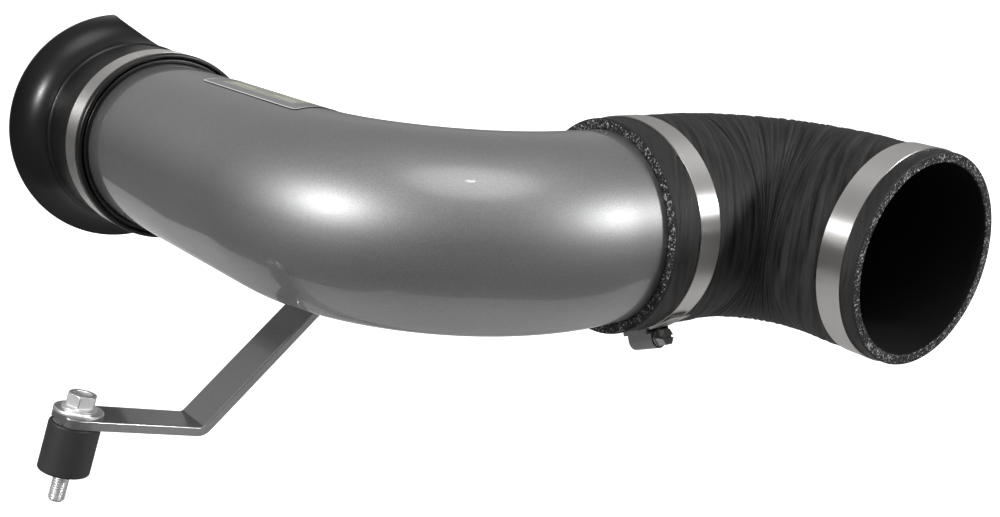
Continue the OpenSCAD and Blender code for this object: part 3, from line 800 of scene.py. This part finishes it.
def build_bolt():
    base = ISO_H + BAR_T + WASHER_T
    foot = base + BOLT_FLANGE_T
    top = foot + BOLT_HEAD_H
    shank_r, head_r, corner_r, dish_r = THREAD_R - 0.1, 7.5, 7.36, 4.3

    def hexagon(phi, z):
        """Radius of the head's hexagon with rounded corners. The shank and flange below it stay round."""
        if z < foot + 0.01:
            return np.full_like(phi, np.inf)
        from_flat = (phi + math.pi / 6) % (math.pi / 3) - math.pi / 6
        return np.minimum(BOLT_HEX / 2 / np.cos(from_flat), corner_r)

    profile = [(base + 0.1 - BOLT_LEN, 3.0), (base + 0.8 - BOLT_LEN, shank_r), (base - 0.05, shank_r)]
    flange = ((0.0, 8.0), (0.15, 8.35), (0.5, 8.48), (0.85, 8.4), (1.05, 8.15))
    profile += [(base + up, r) for up, r in flange]
    profile += [(foot - 0.08, 7.55), (foot + 0.3, head_r)]
    profile += [(z, head_r) for z in np.linspace(foot + 0.7, top - 0.75, 5)]
    profile += [(top - 0.72 + 0.72 * t, 7.42 - 1.18 * t) for t in np.linspace(0.08, 0.9, 7)]
    crown = ((0.02, 6.1), (0.0, 5.85), (0.0, 4.75), (0.06, 4.55), (0.3, 4.4))
    profile += [(top - down, r) for down, r in crown]
    profile += [(top - 1.55 + 1.1 * (r / dish_r) ** 3, r) for r in (4.25, 4.0, 3.5, 2.8, 2.0, 1.2, 0.5)]
    points, faces = closed_rings(turned(profile, 180, hexagon))
    make("bolt", from_seat(points), faces, [ZINC], "flange_bolt", sharp=32)


def build_washer():
    columns = 120
    low, high = ISO_H + BAR_T, ISO_H + BAR_T + WASHER_T
    hole, rim = THREAD_R + BOLT_FIT, WASHER_R - 0.01
    profile = [(low, hole), (low, WASHER_R - 0.35), (low + 0.1, WASHER_R - 0.1), (low + 0.35, rim),
               (high - 0.5, rim), (high - 0.25, WASHER_R - 0.1), (high - 0.08, WASHER_R - 0.3),
               (high, WASHER_R - 0.6), (high, hole)]
    rings = turned(profile, columns)
    make("washer", from_seat(rings.reshape(-1, 3)), grid_faces(len(profile), columns, close_rows=True),
         [ZINC], "flat_washer", sharp=50)


# Strap: one bar with rounded edges, a rounded end and a fold

def bar_section(half_width, half_height, edge_r):
    """Cross-section of the bar. A point just beyond each rounded edge keeps the flat sides flat."""
    section = []
    for quarter, (side, face) in enumerate(((1, 1), (-1, 1), (-1, -1), (1, -1))):
        q = np.radians(np.linspace(quarter * 90, quarter * 90 + 90, 6))
        arc = np.stack([side * (half_width - edge_r) + edge_r * np.cos(q),
                        face * (half_height - edge_r) + edge_r * np.sin(q)], 1)
        onward = 0.25 * np.stack([-np.sin(q), np.cos(q)], 1)
        section += [arc[0] - onward[0], *arc, arc[-1] + onward[-1]]
    return np.array(section)


def build_strap():
    """Each station is a place and an angle along the bar, with half of its width and thickness there."""
    half, thick, edge_r = BAR_W / 2, BAR_T / 2, 0.8
    turn = math.radians(BAR_BEND)
    fold_r = BAR_FOLD_R + thick
    fold_at = FOOT_LEN - BAR_FOLD_R * math.tan(turn / 2)
    leg = LEG_LEN + LEG_TAIL - BAR_FOLD_R * math.tan(turn / 2)
    middle = ISO_H + thick

    stations = []
    for t in (0.0, 0.06, 0.2, 0.45, 0.8, 1.4, 2.2, 3.2, 4.5, BAR_CORNER_R):
        drawn_in = edge_r - math.sqrt(max(edge_r ** 2 - (edge_r - min(t, edge_r)) ** 2, 0.0))
        across = half - BAR_CORNER_R + math.sqrt(BAR_CORNER_R ** 2 - (BAR_CORNER_R - t) ** 2)
        stations.append((t - BAR_END, middle, 0.0, across, thick - drawn_in))
    stations += [(y, middle, 0.0, half, thick) for y in (5.0, 25.0, 45.0, fold_at - 0.3)]
    for a in np.linspace(0, turn, 15):
        rise = fold_r * (1 - math.cos(a))
        stations.append((fold_at + fold_r * math.sin(a), middle + rise, a, half, thick))
    fold_y, fold_z = stations[-1][:2]
    for t, drawn_in in ((0.3, 0), (leg * 0.3, 0), (leg * 0.6, 0), (leg - 1.2, 0), (leg - 0.8, 0),
                        (leg - 0.4, 0.11), (leg - 0.15, 0.35), (leg - 0.03, 0.6), (leg, 0.8)):
        stations.append((fold_y + t * math.cos(turn), fold_z + t * math.sin(turn), turn,
                         half - drawn_in, thick - drawn_in))

    rings = []
    for y, z, a, width, height in stations:
        side, face = bar_section(width, height, edge_r).T
        rings.append(np.stack([side, y - face * math.sin(a), z + face * math.cos(a)], 1))
    points, faces = closed_rings(np.array(rings))
    make("strap", from_seat(points), faces, [BRACKET_PAINT], "support_bracket", sharp=70)


# Small edges of the pressed pieces that keep their CAD meshes

def soften(name, width):
    edge = nodes[name].modifiers.new("edges", "BEVEL")
    edge.width = width * MM
    edge.segments = 2
    edge.limit_method = "ANGLE"
    edge.angle_limit = math.radians(38.0)


for clamp in ("adapter", "inner", "outer"):
    soften(clamp + "_clamp_housing", 0.3)
    soften(clamp + "_clamp_screw", 0.25)

build_tube()
build_adapter()
build_label()
build_stud()
build_bolt()
build_washer()
build_strap()
build_hose()


# Floor: a table, and a pale sheet on it that shows in the part's reflections, just under the stud's tip

TABLE_Z = -15.6
SHEET_Z = -15.4
TABLE_OUTLINE = [(-2400, -2400), (2600, -2400), (2600, 2600), (-2400, 2600)]
SHEET_OUTLINE = [(-413, -160), (-143, -95), (-93, -115), (57, -135), (157, -115), (230, -80), (277, -84),
                 (348, 0), (363, 50), (375, 168), (407, 330), (387, 520), (200, 1300), (-1000, 1300),
                 (-1300, 0)]


def floor_material(name, reflected):
    """White to the camera, with the part's shadow. The part sees the grey of a real table or sheet."""
    material, tree, shader = new_material(name)
    set_inputs(shader, {"Roughness": 0.8, "Specular IOR Level": 0.0})
    seen = add_node(tree, "ShaderNodeLightPath").outputs["Is Camera Ray"]
    tone = scaled_colour(tree, grey(1.0), ramp(tree, seen, reflected, 0.80))
    tree.links.new(tone, shader.inputs["Base Color"])
    glow = add_node(tree, "ShaderNodeEmission")
    tree.links.new(ramp(tree, seen, 0.0, 0.80), glow.inputs["Strength"])
    both = add_node(tree, "ShaderNodeAddShader")
    tree.links.new(shader.outputs[0], both.inputs[0])
    tree.links.new(glow.outputs[0], both.inputs[1])
    surface = next(node for node in tree.nodes if node.type == "OUTPUT_MATERIAL")
    tree.links.new(both.outputs[0], surface.inputs["Surface"])
    return material


def lay(name, outline, height, material):
    """A flat polygon, its outline measured from the adapter's lip and its height from the seat."""
    mesh = bpy.data.meshes.new(name)
    mesh.from_pydata([((x - SEAT[0]) * MM, (y - SEAT[1]) * MM, height * MM) for x, y in outline], [],
                     [tuple(range(len(outline)))])
    mesh.materials.append(material)
    obj = bpy.data.objects.new(name, mesh)
    bpy.context.scene.collection.objects.link(obj)


lay("floor", TABLE_OUTLINE, TABLE_Z, floor_material("table", 0.18))
lay("sheet", SHEET_OUTLINE, SHEET_Z, floor_material("pale_sheet", 0.60))


# Light: a dim room with a soft pale patch overhead, and three lamps

TOP_AZIMUTH = -21.0
TOP_ELEVATION = 70.0
LAMPS_AIM = Vector((0.06, 0.16, 0.10))


def direction(azimuth, elevation):
    a, e = math.radians(azimuth), math.radians(elevation)
    return Vector((math.cos(a) * math.cos(e), math.sin(a) * math.cos(e), math.sin(e)))


def build_world():
    """The camera sees white, and the part sees the room."""
    world = bpy.data.worlds.new("studio")
    bpy.context.scene.world = world
    world.use_nodes = True
    tree = world.node_tree
    place = add_node(tree, "ShaderNodeTexCoord").outputs["Generated"]
    split = add_node(tree, "ShaderNodeSeparateXYZ")
    tree.links.new(place, split.inputs[0])
    room = colour_ramp(tree, split.outputs["Z"], [(0.0, grey(0.17)), (0.12, grey(0.25)),
                                                  (0.34, grey(0.41)), (1.0, grey(0.45))])
    towards_top = add_node(tree, "ShaderNodeVectorMath", operation="DOT_PRODUCT")
    tree.links.new(place, towards_top.inputs[0])
    towards_top.inputs[1].default_value = direction(TOP_AZIMUTH, TOP_ELEVATION)
    patch = ramp(tree, towards_top.outputs["Value"], 0.0, 2.6, 0.90, 1.0, "SMOOTHERSTEP")
    lit = add_node(tree, "ShaderNodeVectorMath", operation="ADD")
    tree.links.new(room, lit.inputs[0])
    tree.links.new(patch, lit.inputs[1])
    room_light = next(node for node in tree.nodes if node.type == "BACKGROUND")
    tree.links.new(lit.outputs[0], room_light.inputs["Color"])
    set_inputs(room_light, {"Strength": 1.0})
    white = add_node(tree, "ShaderNodeBackground")
    set_inputs(white, {"Color": (1.0, 1.0, 1.0, 1.0), "Strength": 1.1})
    pick = add_node(tree, "ShaderNodeMixShader")
    seen = add_node(tree, "ShaderNodeLightPath").outputs["Is Camera Ray"]
    tree.links.new(seen, pick.inputs["Fac"])
    tree.links.new(room_light.outputs[0], pick.inputs[1])
    tree.links.new(white.outputs[0], pick.inputs[2])
    surface = next(node for node in tree.nodes if node.type == "OUTPUT_WORLD")
    tree.links.new(pick.outputs[0], surface.inputs["Surface"])


def area_light(name, azimuth, elevation, distance, size, power):
    away = direction(azimuth, elevation)
    data = bpy.data.lights.new(name, "AREA")
    data.shape = "DISK"
    data.size = size
    data.energy = power
    lamp = bpy.data.objects.new(name, data)
    bpy.context.scene.collection.objects.link(lamp)
    lamp.location = LAMPS_AIM + away * distance
    lamp.rotation_mode = "QUATERNION"
    lamp.rotation_quaternion = away.to_track_quat("Z", "Y")


build_world()
area_light("left_box", -88.0, 24.7, 1.6, 0.20, 18.0)
area_light("right_box", 35.7, 21.7, 1.6, 0.20, 14.0)
area_light("top_box", TOP_AZIMUTH, TOP_ELEVATION, 1.8, 0.10, 0.25)


# Camera, where the photo was taken from, in metres from the isolator's seat

CAMERA_PLACE = Vector((0.53305, -0.19389, 0.27120))
CAMERA_AZIMUTH = -40.94001
CAMERA_ELEVATION = 15.38817
CAMERA_ROLL = 4.90951
FOCAL_PIXELS = 1198.53
PHOTO_WIDTH_PIXELS = 1000.0

camera_data = bpy.data.cameras.new("camera")
camera_data.sensor_width = 36.0
camera_data.sensor_fit = "HORIZONTAL"
camera_data.lens = FOCAL_PIXELS / PHOTO_WIDTH_PIXELS * camera_data.sensor_width
camera_data.clip_start = 0.01
camera_data.clip_end = 200.0
camera = bpy.data.objects.new("camera", camera_data)
bpy.context.scene.collection.objects.link(camera)
upright = direction(CAMERA_AZIMUTH, CAMERA_ELEVATION).to_track_quat("Z", "Y")
rolled = upright @ Quaternion((0, 0, 1), math.radians(CAMERA_ROLL))
camera.matrix_world = Matrix.Translation(CAMERA_PLACE) @ rolled.to_matrix().to_4x4()
bpy.context.scene.camera = camera
bpy.context.scene.view_settings.view_transform = "Standard"
